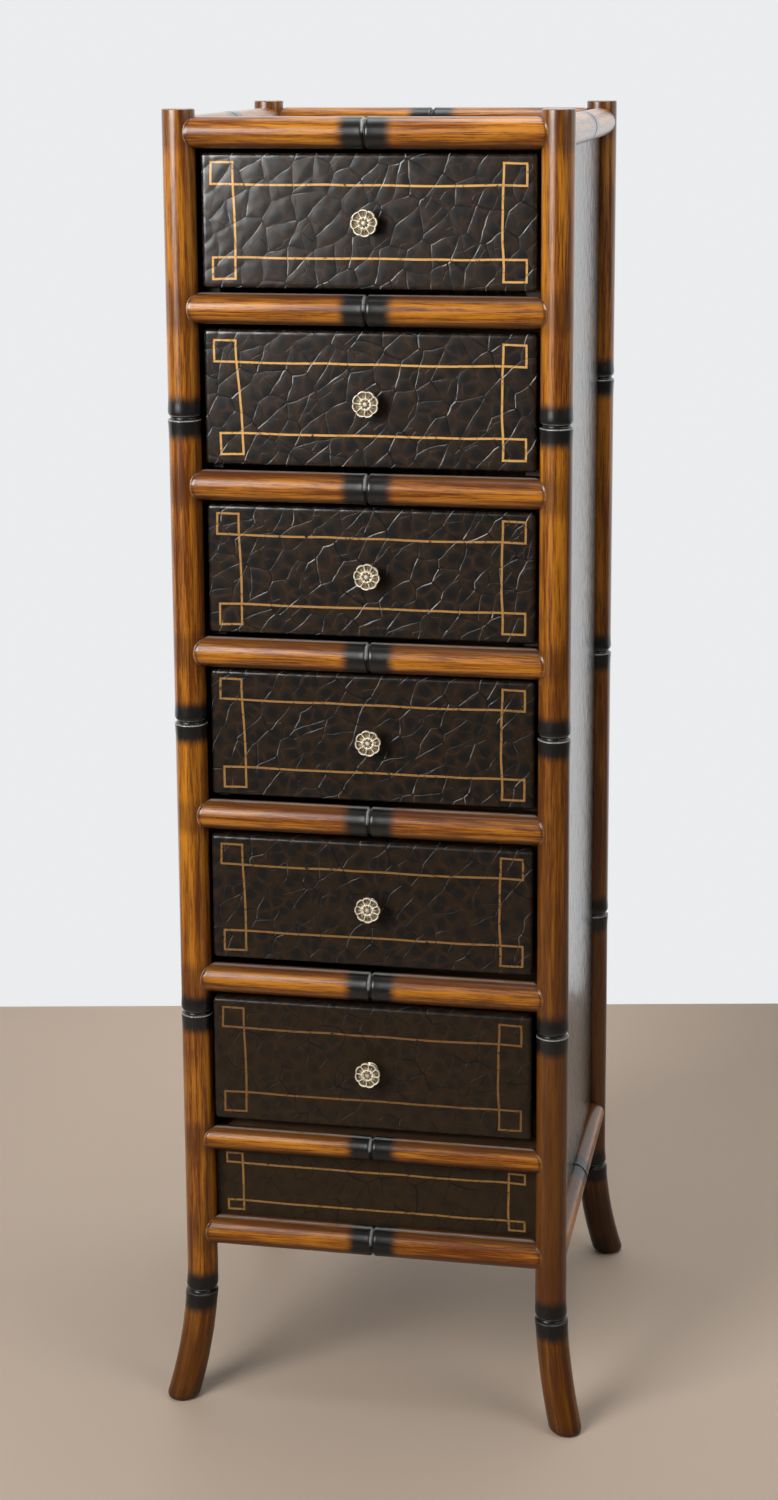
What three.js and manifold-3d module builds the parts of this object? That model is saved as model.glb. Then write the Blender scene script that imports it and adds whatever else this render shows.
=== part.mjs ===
// A tall narrow chest of six drawers on a frame of turned faux-bamboo posts and rails.
// Millimetres, +Z up, front towards -Y, origin on the floor at the middle of the frame.
import * as THREE from 'three';
import { mergeVertices } from 'three/addons/utils/BufferGeometryUtils.js';
import Module from 'manifold-3d';

const wasm = await Module();
wasm.setup();

// Posts
const POST_SPACING = 374;
const POST_RADIUS = 16.2;
const POST_TOP_EDGE = 2;
const FOOT_SWELL = 0.6;
const FOOT_EDGE = 3;
const FOOT_BEND_HEIGHT = 150;
const FOOT_BEND_RADIUS = 420;

// Bamboo nodes turned on the posts
const FIRST_NODE_DROP = 303.5;
const LAST_NODE_HEIGHT = 118.4;
const NODE_SWELL = 0.5;
const NODE_GROOVE_DEPTH = 2.4;
const NODE_GROOVE_WIDTH = 4.2;
const NODE_BLEND = 15;

// Rails
const RAIL_RADIUS = 15.6;
const SLIM_RAIL_RADIUS = 12.7;
const RAIL_SETBACK = 0.2;
const RAIL_GROOVE_DEPTH = 2.2;
const RAIL_GROOVE_WIDTH = 4.6;
const FIRST_RAIL_DROP = 23.1;
const LAST_RAIL_HEIGHT = 186.4;
const SHORT_PITCH = 171.5;
const TALL_PITCH_EXTRA = 5.5;
const APRON_PITCH = 105;
const TENON_RADIUS = 4.5;
const TENON_TIP_GAP = 1;
const RAIL_EAR_TO_TENON = 0.5;

// Panels, which stand in grooves of the posts and rails
const HOUSING_DEPTH = 5;
const SIDE_PANEL_THICKNESS = 8;
const SIDE_PANEL_INSET = 4;
const BACK_PANEL_THICKNESS = 6;
const TOP_PANEL_THICKNESS = 8;
const TOP_PANEL_RECESS = 12;
const TOP_PANEL_TONGUE = 4;
const APRON_THICKNESS = 8;
const APRON_RECESS = 20.5;
const APRON_HOUSING = 3.5;
const BASE_BOARD_THICKNESS = 9;
const BASE_BOARD_RISE = 3.6;

// Runners, guides and stops of the drawers, and ledges under the base board
const RUNNER_WIDTH = 25;
const RUNNER_HEIGHT = 14;
const RUNNER_TO_POST = 6;
const RUNNER_TO_FRONT = 1.9;
const GUIDE_HEIGHT = 10;
const GUIDE_GAP = 1;
const LEDGE_WIDTH = 14;
const LEDGE_HEIGHT = 12;

// Drawers
const FRONT_TO_POST = 3.8;
const FRONT_CLEARANCE = 8;
const FRONT_THICKNESS = 18;
const FRONT_EDGE = 2.5;
const FRONT_RECESS = 18.5;
const BOX_TO_BACK_PANEL = 38.7;
const BOX_SIDE_INSET = 4.5;
const BOX_WALL = 10;
const BOX_RISE = 8;
const BOX_TOP_DROP = 22;
const BOX_BACK_TO_END = 12;
const BOX_BACK_DROP = 6;
const FLOOR_THICKNESS = 6;
const FLOOR_RISE = 8;
const FLOOR_HOUSING = 4;
const SIDE_HOUSING = 6;

// Where each drawer hangs in its opening, as shares of the free height and of the recess
const FRONT_LIFT_SHARES = [0.5, 0.34, 0.43, 0.5, 0.6, 0.77];
const AJAR_SHARES = [0, 0, 0, 0, 0.45, 0.8];

// Rosette knobs
const KNOB_RADIUS = 13.6;
const KNOB_PROUD = 18.5;
const KNOB_DISC = 4.4;
const KNOB_COLLAR_RADIUS = 7.5;
const KNOB_COLLAR_HEIGHT = 2.4;
const KNOB_STEM_RADIUS = 3.8;
const KNOB_SHANK_RADIUS = 2.2;
const KNOB_SHANK_LENGTH = 13;

// Gap between pieces that meet, how far a cutter overruns, and the distance at which points weld
const FIT = 0.3;
const OVERRUN = 4;
const WELD = 0.0003;

// Counts of sides, steps and repeats
const POST_SIDES = 16;
const RAIL_SIDES = 16;
const TENON_SIDES = 8;
const FOOT_STEPS = 5;
const NODE_COUNT = 4;
const PETALS = 8;
const STEPS_PER_PETAL = 3;
const STEM_SIDES = 10;

const axis = POST_SPACING / 2;
const frontPlane = -axis - POST_RADIUS;
const frontWidth = 2 * (axis - POST_RADIUS - FRONT_TO_POST);
const frontHeight = SHORT_PITCH - 2 * RAIL_RADIUS - FRONT_CLEARANCE;

const wood = new THREE.MeshStandardMaterial({ color: 0x8a4f1d, roughness: 0.3, metalness: 0 });
const leather = new THREE.MeshStandardMaterial({ color: 0x2b241f, roughness: 0.45, metalness: 0 });
const brass = new THREE.MeshStandardMaterial({ color: 0xb59a66, roughness: 0.35, metalness: 1 });
const drawerWood = new THREE.MeshStandardMaterial({ color: 0xa9825a, roughness: 0.7, metalness: 0 });

const chest = new THREE.Group();

// Solid modelling helpers

function solid(geometry) {
  const plain = geometry.index ? geometry.toNonIndexed() : geometry.clone();
  plain.deleteAttribute('normal');
  plain.deleteAttribute('uv');
  const merged = mergeVertices(plain, WELD);
  const vertProperties = new Float32Array(merged.attributes.position.array);
  const triVerts = new Uint32Array(merged.index.array);
  return new wasm.Manifold(new wasm.Mesh({ numProp: 3, vertProperties, triVerts }));
}

function block(low, high) {
  const size = high.map((value, i) => value - low[i]);
  const geometry = new THREE.BoxGeometry(...size);
  geometry.translate(...low.map((value, i) => value + size[i] / 2));
  return solid(geometry);
}

// A revolved profile of [radius, height] pairs, from its lower to its upper end, about Z
function turned(profile, sides) {
  const points = [[0, profile[0][1]], ...profile, [0, profile.at(-1)[1]]];
  const geometry = new THREE.LatheGeometry(points.map(([r, z]) => new THREE.Vector2(r, z)), sides);
  return geometry.rotateX(Math.PI / 2);
}

function rod(radius, from, to, sides) {
  return turned([[radius, from], [radius, to]], sides);
}

function alongX(geometry) {
  return geometry.rotateY(Math.PI / 2);
}

function alongY(geometry) {
  return geometry.rotateX(-Math.PI / 2);
}

function addMesh(name, body, material) {
  const { vertProperties, triVerts } = body.getMesh();
  const geometry = new THREE.BufferGeometry();
  geometry.setAttribute('position', new THREE.BufferAttribute(vertProperties, 3));
  geometry.setIndex(new THREE.BufferAttribute(triVerts, 1));
  geometry.computeVertexNormals();
  const mesh = new THREE.Mesh(geometry, material);
  mesh.name = name;
  chest.add(mesh);
  return mesh;
}

// Heights of the front rails, from the top one to the one under the apron

const tallPitch = SHORT_PITCH + TALL_PITCH_EXTRA;
const pitches = [SHORT_PITCH, tallPitch, SHORT_PITCH, SHORT_PITCH, tallPitch, tallPitch, APRON_PITCH];
const bottomRailZ = LAST_RAIL_HEIGHT;
const topRailZ = pitches.reduce((sum, pitch) => sum + pitch, bottomRailZ);
const railHeights = [topRailZ];
for (const pitch of pitches) {
  railHeights.push(railHeights.at(-1) - pitch);
}
const SLIM_RAIL = 6;
const slimRailZ = railHeights[SLIM_RAIL];
const height = topRailZ + FIRST_RAIL_DROP;
const drawerCount = SLIM_RAIL;

const frontRailY = -axis + RAIL_SETBACK;
const slimRailY = frontRailY - (RAIL_RADIUS - SLIM_RAIL_RADIUS);

function railRadius(index) {
  return index === SLIM_RAIL ? SLIM_RAIL_RADIUS : RAIL_RADIUS;
}

// Panel planes and edges

const sidePanelOuter = axis - SIDE_PANEL_INSET + SIDE_PANEL_THICKNESS / 2;
const sidePanelInner = sidePanelOuter - SIDE_PANEL_THICKNESS;
const housedEdge = axis - POST_RADIUS + HOUSING_DEPTH;
const panelBottom = bottomRailZ + RAIL_RADIUS - HOUSING_DEPTH;
const panelTop = topRailZ - RAIL_RADIUS + HOUSING_DEPTH;
const backPanelInner = axis - BACK_PANEL_THICKNESS / 2;
const topPanelTop = topRailZ + RAIL_RADIUS - TOP_PANEL_RECESS;
const topPanelBottom = topPanelTop - TOP_PANEL_THICKNESS;
const topFieldEdge = axis - RAIL_RADIUS - FIT;
const topFieldFront = frontRailY + RAIL_RADIUS + FIT;
const apronFace = frontPlane + APRON_RECESS;
const apronEnd = axis - POST_RADIUS + APRON_HOUSING;
const apronTop = slimRailZ - SLIM_RAIL_RADIUS + APRON_HOUSING;
const apronBottom = bottomRailZ + RAIL_RADIUS - APRON_HOUSING;
const baseBoardTop = slimRailZ + BASE_BOARD_RISE;
const baseBoardBottom = baseBoardTop - BASE_BOARD_THICKNESS;

const panels = {
  side_panel_left: block(
    [-sidePanelOuter, -housedEdge, panelBottom], [-sidePanelInner, housedEdge, panelTop]),
  side_panel_right: block(
    [sidePanelInner, -housedEdge, panelBottom], [sidePanelOuter, housedEdge, panelTop]),
  back_panel: block(
    [-housedEdge, backPanelInner, panelBottom],
    [housedEdge, backPanelInner + BACK_PANEL_THICKNESS, panelTop]),
  top_panel: block(
    [-topFieldEdge - HOUSING_DEPTH, topFieldFront - HOUSING_DEPTH, topPanelBottom],
    [topFieldEdge + HOUSING_DEPTH, topFieldEdge + HOUSING_DEPTH, topPanelBottom + TOP_PANEL_TONGUE]),
  apron_panel: block(
    [-apronEnd, apronFace, apronBottom], [apronEnd, apronFace + APRON_THICKNESS, apronTop]),
};

// The same panels grown by the fit, which cut their grooves
function grown(body) {
  const { min, max } = body.boundingBox();
  return block(min.map((value) => value - FIT), max.map((value) => value + FIT));
}
const grooves = Object.values(panels).map(grown);

function cutAll(body, cutters) {
  return cutters.reduce((result, cutter) => result.subtract(cutter), body);
}

// Tenons of the rails, and the sockets that take them

function tenon(direction, side, y, z, allowance) {
  const tip = axis - TENON_RADIUS - TENON_TIP_GAP + allowance;
  const root = axis - POST_RADIUS - OVERRUN;
  const pin = rod(TENON_RADIUS + allowance, root, tip, TENON_SIDES);
  if (side < 0) {
    pin.rotateX(Math.PI);
  }
  if (direction === 'x') {
    return solid(alongX(pin)).translate([0, y, z]);
  }
  return solid(alongY(pin)).translate([y, 0, z]);
}

// Posts: a turned stem with bamboo nodes, bent outwards along the diagonal towards the foot

const nodePitch = (height - FIRST_NODE_DROP - LAST_NODE_HEIGHT) / (NODE_COUNT - 1);
const nodeHeights = [];
for (let i = 0; i < NODE_COUNT; i += 1) {
  nodeHeights.push(LAST_NODE_HEIGHT + i * nodePitch);
}

function nodeProfile(z, lowerRadius) {
  const rim = POST_RADIUS + NODE_SWELL;
  return [
    [lowerRadius, z - NODE_BLEND],
    [rim, z - NODE_GROOVE_WIDTH / 3],
    [POST_RADIUS - NODE_GROOVE_DEPTH, z],
    [rim, z + NODE_GROOVE_WIDTH * 2 / 3],
    [POST_RADIUS, z + NODE_BLEND],
  ];
}

function postProfile() {
  const footRadius = POST_RADIUS + FOOT_SWELL;
  const lowestNode = nodeHeights[0];
  const profile = [
    [footRadius - FOOT_EDGE, 0],
    [footRadius - FOOT_EDGE / 4, FOOT_EDGE / 4],
    [footRadius, FOOT_EDGE],
  ];
  const legTop = lowestNode - NODE_BLEND;
  for (let i = 1; i < FOOT_STEPS; i += 1) {
    profile.push([footRadius, FOOT_EDGE + (legTop - FOOT_EDGE) * i / FOOT_STEPS]);
  }
  for (const z of nodeHeights) {
    profile.push(...nodeProfile(z, z === lowestNode ? footRadius : POST_RADIUS));
  }
  profile.push([POST_RADIUS, height - POST_TOP_EDGE]);
  profile.push([POST_RADIUS - POST_TOP_EDGE, height]);
  return profile;
}

// How far the stem's axis leans out at a height, and how much its level section is drawn out
function lean(z) {
  const below = Math.max(0, FOOT_BEND_HEIGHT - z);
  const along = Math.sqrt(FOOT_BEND_RADIUS ** 2 - below ** 2);
  return { offset: FOOT_BEND_RADIUS - along, stretch: FOOT_BEND_RADIUS / along };
}

function bentPost(signX, signY) {
  const geometry = turned(postProfile(), POST_SIDES);
  const position = geometry.attributes.position;
  const outward = new THREE.Vector2(signX, signY).normalize();
  const level = new THREE.Vector2();
  for (let i = 0; i < position.count; i += 1) {
    const { offset, stretch } = lean(position.getZ(i));
    level.set(position.getX(i), position.getY(i));
    level.addScaledVector(outward, level.dot(outward) * (stretch - 1) + offset);
    position.setXY(i, level.x, level.y);
  }
  return solid(geometry).translate([signX * axis, signY * axis, 0]);
}

const postCorners = {
  post_front_left: [-1, -1],
  post_front_right: [1, -1],
  post_rear_left: [-1, 1],
  post_rear_right: [1, 1],
};

for (const [name, [signX, signY]] of Object.entries(postCorners)) {
  const sockets = [];
  if (signY < 0) {
    railHeights.forEach((z, index) => {
      sockets.push(tenon('x', signX, index === SLIM_RAIL ? slimRailY : frontRailY, z, FIT));
    });
  } else {
    sockets.push(tenon('x', signX, axis, topRailZ, FIT));
    sockets.push(tenon('x', signX, axis, bottomRailZ, FIT));
  }
  sockets.push(tenon('y', signY, signX * axis, topRailZ, FIT));
  sockets.push(tenon('y', signY, signX * axis, bottomRailZ, FIT));
  const post = cutAll(bentPost(signX, signY), [...sockets, ...grooves]);
  addMesh(name, post, wood);
}

// Rails: turned bars with one groove, saddled over the posts and tenoned into them

const saddleRadius = POST_RADIUS + FIT / Math.cos(Math.PI / POST_SIDES);

function saddle(signX, signY) {
  return solid(rod(saddleRadius, 0, height, POST_SIDES)).translate([signX * axis, signY * axis, 0]);
}
const saddles = Object.values(postCorners).map(([signX, signY]) => saddle(signX, signY));

const half = axis - TENON_RADIUS - RAIL_EAR_TO_TENON;
const crossBarRadius = RAIL_RADIUS + FIT / Math.cos(Math.PI / RAIL_SIDES);

// The bars across the front and back at the height of a side rail, which its ends are coped to
function crossBars(z) {
  return [frontRailY, axis].map((y) => (
    solid(alongX(rod(crossBarRadius, -half - FIT, half + FIT, RAIL_SIDES))).translate([0, y, z])));
}

function rail(name, direction, radius, y, z) {
  const bar = turned([
    [radius, -half],
    [radius, -RAIL_GROOVE_WIDTH / 2],
    [radius - RAIL_GROOVE_DEPTH, 0],
    [radius, RAIL_GROOVE_WIDTH / 2],
    [radius, half],
  ], RAIL_SIDES);
  const place = direction === 'x' ? [0, y, z] : [y, 0, z];
  const turnedBar = solid(direction === 'x' ? alongX(bar) : alongY(bar)).translate(place);
  const crossed = direction === 'y' ? crossBars(z) : [];
  const coped = cutAll(turnedBar, [...saddles, ...crossed, ...grooves]);
  const tenoned = coped.add(tenon(direction, 1, y, z, 0)).add(tenon(direction, -1, y, z, 0));
  addMesh(name, tenoned, wood);
}

railHeights.forEach((z, index) => {
  rail(`front_rail_${index + 1}`, 'x', railRadius(index), index === SLIM_RAIL ? slimRailY : frontRailY, z);
});
for (const [side, sign] of [['left', -1], ['right', 1]]) {
  rail(`side_rail_upper_${side}`, 'y', RAIL_RADIUS, sign * axis, topRailZ);
  rail(`side_rail_lower_${side}`, 'y', RAIL_RADIUS, sign * axis, bottomRailZ);
}
rail('back_rail_upper', 'x', RAIL_RADIUS, axis, topRailZ);
rail('back_rail_lower', 'x', RAIL_RADIUS, axis, bottomRailZ);

// Drawer places: where each front stands at rest

const drawers = [];
for (let i = 0; i < drawerCount; i += 1) {
  const openingTop = railHeights[i] - railRadius(i);
  const openingBottom = railHeights[i + 1] + railRadius(i + 1);
  const free = openingTop - openingBottom - frontHeight;
  drawers.push({
    name: `drawer_${i + 1}`,
    face: frontPlane + FRONT_RECESS * (1 - AJAR_SHARES[i]),
    bottom: openingBottom + free * FRONT_LIFT_SHARES[i],
  });
}

// Panels: the sides carry the drawer runners, with their guides and rear stops, and the ledges
// of the base board

const frontBackShut = frontPlane + FRONT_RECESS + FRONT_THICKNESS;
const boxEndShut = backPanelInner - BOX_TO_BACK_PANEL;
const boxDepth = boxEndShut - frontBackShut;
const boxOuter = frontWidth / 2 - BOX_SIDE_INSET;
const guideWidth = sidePanelInner - boxOuter - GUIDE_GAP;
const runnerStart = frontBackShut + RUNNER_TO_FRONT;
const runnerEnd = axis - POST_RADIUS - RUNNER_TO_POST;

for (const [side, sign] of [['left', -1], ['right', 1]]) {
  const cleat = (width, bottom, top, start) => {
    const across = [sidePanelInner - width, sidePanelInner + OVERRUN].map((x) => sign * x);
    return block([Math.min(...across), start, bottom], [Math.max(...across), runnerEnd, top]);
  };
  let panel = panels[`side_panel_${side}`];
  for (const drawer of drawers) {
    const runnerTop = drawer.bottom + BOX_RISE - FIT;
    const runnerBottom = runnerTop - RUNNER_HEIGHT;
    const guideTop = runnerTop + GUIDE_HEIGHT;
    panel = panel.add(cleat(RUNNER_WIDTH, runnerBottom, runnerTop, runnerStart));
    panel = panel.add(cleat(guideWidth, runnerBottom, guideTop, runnerStart));
    panel = panel.add(cleat(RUNNER_WIDTH, runnerBottom, guideTop, boxEndShut + FIT));
  }
  const ledgeTop = baseBoardBottom - FIT;
  panel = panel.add(cleat(LEDGE_WIDTH, ledgeTop - LEDGE_HEIGHT, ledgeTop, runnerStart));
  addMesh(`side_panel_${side}`, panel, leather);
}

// The top panel's tongue stands in the rails, and its raised field fills the space between them
const topField = block(
  [-topFieldEdge, topFieldFront, topPanelBottom], [topFieldEdge, topFieldEdge, topPanelTop]);
addMesh('top_panel', cutAll(panels.top_panel, saddles).add(topField), leather);
addMesh('back_panel', panels.back_panel, drawerWood);
addMesh('apron_panel', panels.apron_panel, leather);

const baseBoard = block(
  [-sidePanelInner + FIT, slimRailY + SLIM_RAIL_RADIUS + FIT, baseBoardBottom],
  [sidePanelInner - FIT, backPanelInner - FIT, baseBoardTop]);
addMesh('base_board', cutAll(baseBoard, saddles), drawerWood);

// Drawer fronts: boards wrapped in leather, with soft edges, housed for the box and the knob

function wrappedBoard(width, height, thickness, edge) {
  const w = width / 2 - edge;
  const h = height / 2 - edge;
  const outline = new THREE.Shape();
  outline.moveTo(-w, -h);
  outline.lineTo(w, -h);
  outline.lineTo(w, h);
  outline.lineTo(-w, h);
  outline.closePath();
  const geometry = new THREE.ExtrudeGeometry(outline, {
    depth: thickness - 2 * edge,
    bevelThickness: edge,
    bevelSize: edge,
    bevelSegments: 2,
  });
  geometry.translate(0, 0, edge);
  return solid(geometry.rotateX(Math.PI / 2)).translate([0, thickness, 0]);
}

// A rosette of petals about Z with a domed middle, a raised scalloped rim and hollow petals
function rosette() {
  const steps = PETALS * STEPS_PER_PETAL;
  const back = KNOB_PROUD - KNOB_DISC;
  // Each ring: share of the radius, share of the disc's thickness, how deep the lobes cut in
  const RING_SHARES = [
    [0.3, 0, 0],
    [0.88, 0.25, 0.08],
    [1, 0.55, 0.1],
    [0.88, 0.85, 0.1],
    [0.62, 0.45, 0],
    [0.36, 0.62, 0],
    [0.2, 0.92, 0],
  ];
  const vertices = [0, 0, back];
  for (const [radiusShare, heightShare, lobeShare] of RING_SHARES) {
    for (let i = 0; i < steps; i += 1) {
      const angle = i / steps * 2 * Math.PI;
      const notch = 1 - Math.abs(Math.sin(angle * PETALS / 2));
      const radius = KNOB_RADIUS * radiusShare * (1 - lobeShare * notch);
      vertices.push(radius * Math.cos(angle), radius * Math.sin(angle), back + KNOB_DISC * heightShare);
    }
  }
  vertices.push(0, 0, KNOB_PROUD);
  const triangles = [];
  const last = vertices.length / 3 - 1;
  for (let i = 0; i < steps; i += 1) {
    const next = (i + 1) % steps;
    triangles.push(0, 1 + next, 1 + i);
    for (let ring = 0; ring + 1 < RING_SHARES.length; ring += 1) {
      const a = 1 + ring * steps;
      const b = a + steps;
      triangles.push(a + i, a + next, b + next, a + i, b + next, b + i);
    }
    triangles.push(last - steps + i, last - steps + next, last);
  }
  const geometry = new THREE.BufferGeometry();
  geometry.setAttribute('position', new THREE.Float32BufferAttribute(vertices, 3));
  geometry.setIndex(triangles);
  return solid(geometry);
}

function knob() {
  const stem = turned([
    [KNOB_SHANK_RADIUS, -KNOB_SHANK_LENGTH],
    [KNOB_SHANK_RADIUS, FIT],
    [KNOB_COLLAR_RADIUS, FIT],
    [KNOB_COLLAR_RADIUS, KNOB_COLLAR_HEIGHT / 2],
    [KNOB_STEM_RADIUS, KNOB_COLLAR_HEIGHT],
    [KNOB_STEM_RADIUS, KNOB_PROUD - KNOB_DISC / 2],
  ], STEM_SIDES);
  return solid(stem).add(rosette()).rotate([90, 0, 0]);
}

const knobSolid = knob();
const knobHole = solid(rod(KNOB_SHANK_RADIUS + FIT, -KNOB_SHANK_LENGTH - FIT, OVERRUN, TENON_SIDES))
  .rotate([90, 0, 0]);

// Drawers: box sides housed in the front, back housed in the sides, floor in a groove all round

for (const { name, face, bottom } of drawers) {
  const frontBack = face + FRONT_THICKNESS;
  const boxEnd = frontBack + boxDepth;
  const inner = boxOuter - BOX_WALL;
  const sideBottom = bottom + BOX_RISE;
  const sideTop = bottom + frontHeight - BOX_TOP_DROP;
  const floorBottom = sideBottom + FLOOR_RISE;
  const floorTop = floorBottom + FLOOR_THICKNESS;
  const backFace = boxEnd - BOX_BACK_TO_END - BOX_WALL;
  const middle = bottom + frontHeight / 2;

  const sideBlocks = {
    left: block([-boxOuter, frontBack - SIDE_HOUSING, sideBottom], [-inner, boxEnd, sideTop]),
    right: block([inner, frontBack - SIDE_HOUSING, sideBottom], [boxOuter, boxEnd, sideTop]),
  };
  const floor = block(
    [-inner - FLOOR_HOUSING, frontBack - FLOOR_HOUSING, floorBottom],
    [inner + FLOOR_HOUSING, backFace + BOX_WALL, floorTop]);
  const back = block(
    [-inner - FLOOR_HOUSING, backFace, floorTop + FIT],
    [inner + FLOOR_HOUSING, backFace + BOX_WALL, sideTop - BOX_BACK_DROP]);

  const board = wrappedBoard(frontWidth, frontHeight, FRONT_THICKNESS, FRONT_EDGE)
    .translate([0, face, middle]);
  const cutters = [
    grown(sideBlocks.left),
    grown(sideBlocks.right),
    grown(floor),
    knobHole.translate([0, face, middle]),
  ];
  addMesh(`${name}_front`, cutAll(board, cutters), leather);
  addMesh(`${name}_side_left`, cutAll(sideBlocks.left, [grown(floor), grown(back)]), drawerWood);
  addMesh(`${name}_side_right`, cutAll(sideBlocks.right, [grown(floor), grown(back)]), drawerWood);
  addMesh(`${name}_back`, back, drawerWood);
  addMesh(`${name}_bottom`, floor, drawerWood);
  addMesh(`${name}_knob`, knobSolid.translate([0, face, middle]), brass);
}

export default chest;
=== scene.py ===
"""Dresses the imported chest: leather-clad drawers in a frame of turned, scorched faux bamboo."""

import math

import bmesh
import bpy
import numpy as np
from bpy.props import FloatProperty, FloatVectorProperty, IntProperty, PointerProperty
from bpy.types import Operator, Panel, PropertyGroup
from mathutils import Matrix, Vector


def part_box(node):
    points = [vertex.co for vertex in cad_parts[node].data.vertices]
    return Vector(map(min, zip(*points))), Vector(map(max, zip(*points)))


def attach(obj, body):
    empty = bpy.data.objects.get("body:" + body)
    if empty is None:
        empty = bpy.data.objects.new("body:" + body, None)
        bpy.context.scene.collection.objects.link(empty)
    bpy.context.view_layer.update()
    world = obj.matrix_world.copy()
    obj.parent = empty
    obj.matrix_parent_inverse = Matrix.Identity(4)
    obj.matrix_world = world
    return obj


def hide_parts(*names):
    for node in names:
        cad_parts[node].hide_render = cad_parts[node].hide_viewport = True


bl_info = {
    "name": "Semainier",
    "version": (1, 0, 0),
    "blender": (4, 5, 0),
    "location": "3D View > Sidebar > Chest",
    "description": "Turned faux-bamboo frame, leather-clad drawers and brass rosettes",
    "category": "Object",
}

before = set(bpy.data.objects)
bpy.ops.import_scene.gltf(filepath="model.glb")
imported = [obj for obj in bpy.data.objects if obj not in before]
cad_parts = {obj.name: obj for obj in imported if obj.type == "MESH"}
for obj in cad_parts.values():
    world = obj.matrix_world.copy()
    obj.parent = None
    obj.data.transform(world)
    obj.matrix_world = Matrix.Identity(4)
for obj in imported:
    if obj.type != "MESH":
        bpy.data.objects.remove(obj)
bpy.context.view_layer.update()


# Sizes and colours that a user would change


def length(name, description, default):
    return FloatProperty(name=name, description=description, default=default, min=0, unit="LENGTH")


def colour(name, description, default):
    return FloatVectorProperty(
        name=name, description=description, default=default, min=0, max=1, subtype="COLOR", size=3)


def share(name, description, default):
    return FloatProperty(name=name, description=description, default=default, min=0, max=1)


class PostSettings(PropertyGroup):
    radius: length("Radius", "Radius of the turned posts", 0.0162)
    foot_radius: length("Foot radius", "Radius of the posts below the lowest node", 0.0168)
    lowest_node: length("Lowest node", "Height of the lowest bamboo node", 0.1184)
    highest_node: length("Highest node", "Height of the highest bamboo node", 1.0565)
    node_count: IntProperty(name="Nodes", description="Bamboo nodes on each post", default=4, min=2)
    bend_height: length("Bend height", "Height below which a post bends outwards", 0.15)
    bend_radius: length("Bend radius", "Radius of the bend at the foot", 0.42)
    top_edge: length("Top edge", "Rounding of the post's top", 0.0016)
    foot_edge: length("Foot edge", "Rounding of the foot", 0.0062)


class RailSettings(PropertyGroup):
    groove_depth: length("Groove depth", "Depth of the groove at the middle", 0.0022)
    groove_width: length("Groove width", "Width of the groove at the middle", 0.0046)
    end_edge: length("End edge", "Width of the rounding at the ends", 0.0042)
    end_drop: length("End drop", "Depth of the rounding at the ends", 0.0019)
    lap: length("Lap", "Thickness of an end where it laps over its post", 0.0019)
    shy: length("Shy", "How far an end stops short of its post's middle line", 0.0074)


class WoodSettings(PropertyGroup):
    amber: colour("Amber", "Clear lacquered wood", (0.45, 0.165, 0.009))
    brown: colour("Brown", "Wood between the clear parts", (0.17, 0.04, 0.002))
    streak: colour("Streak", "Dark grain lines", (0.062, 0.0145, 0.0018))
    # This colour is dark glaze at the joints and painted shade in the corners, under the rails and low
    # on the posts.
    stain_and_shade: colour("Stain", "Red-brown glaze in corners and at joints", (0.06, 0.0165, 0.0025))
    scorch: colour("Scorch", "Scorched bands at the nodes", (0.007, 0.0065, 0.006))
    # This pale colour paints highlights at the lips of the grooves, along the tops of the rails and at
    # their ends.
    painted_glint: colour("Wear", "Pale wear at the lips of the grooves", (0.42, 0.42, 0.40))
    post_band: length("Post band", "Half the height of a scorched band on a post", 0.0205)
    rail_band: length("Rail band", "Half the width of a scorched band on a rail", 0.0245)
    coat: share("Lacquer", "Strength of the clear lacquer", 0.76)


class HideSettings(PropertyGroup):
    centre: colour("Cell centre", "Leather in the middle of a cell", (0.007, 0.0062, 0.0055))
    between: colour("Between", "Leather between the cells", (0.0152, 0.0098, 0.0056))
    edge: colour("Ring", "Rubbed ring round a cell", (0.042, 0.0185, 0.0095))
    # The lip colour is a painted highlight along one side of each crease.
    lip: colour("Lip", "Rubbed lips of the creases", (0.34, 0.32, 0.30))
    dull: colour("Dull", "Leather that has lost its gloss", (0.034, 0.0182, 0.0055))
    gilt: colour("Gilt", "Tooled lines", (0.56, 0.30, 0.085))
    # The worn gilt colour also paints shade on the gilt of the lower drawers.
    worn_and_shaded_gilt: colour("Aged gilt", "Worn tooled lines", (0.12, 0.055, 0.019))
    line_width: length("Line width", "Width of a tooled line", 0.0021)
    cell: length("Cell size", "Distance between cells of the embossing", 0.0165)
    fold: length("Fold size", "Distance between the long creases", 0.0225)
    dome: length("Dome", "Height of the skin between its creases", 0.00026)
    crease: length("Crease", "Depth of a crease", 0.00046)


class BrassSettings(PropertyGroup):
    bright: colour("Bright", "Rubbed brass", (1.0, 0.94, 0.79))
    patina: colour("Patina", "Tarnish in the hollows", (0.145, 0.095, 0.04))
    petals: IntProperty(name="Petals", description="Petals of a rosette", default=8, min=3)
    radius: length("Radius", "Radius of a rosette", 0.0136)
    proud: length("Projection", "How far a knob stands out", 0.0185)
    disc: length("Disc", "Thickness of a rosette", 0.0044)


class BoardSettings(PropertyGroup):
    pale: colour("Pale", "Stained wood of the drawer boxes, back and base", (0.19, 0.11, 0.055))
    dark: colour("Dark", "Its grain", (0.10, 0.052, 0.024))
    # The carcass wood is kept very dark, a painted shade for the gaps round the drawers.
    carcass_shade_pale: colour("Carcass", "Wood under the side leather", (0.05, 0.03, 0.018))
    carcass_shade_dark: colour("Carcass grain", "Its grain", (0.025, 0.014, 0.008))


class ChestSettings(PropertyGroup):
    post: PointerProperty(type=PostSettings)
    rail: PointerProperty(type=RailSettings)
    wood: PointerProperty(type=WoodSettings)
    hide: PointerProperty(type=HideSettings)
    brass: PointerProperty(type=BrassSettings)
    board: PointerProperty(type=BoardSettings)


def settings():
    return bpy.context.scene.chest


# Node trees written as expressions


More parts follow.
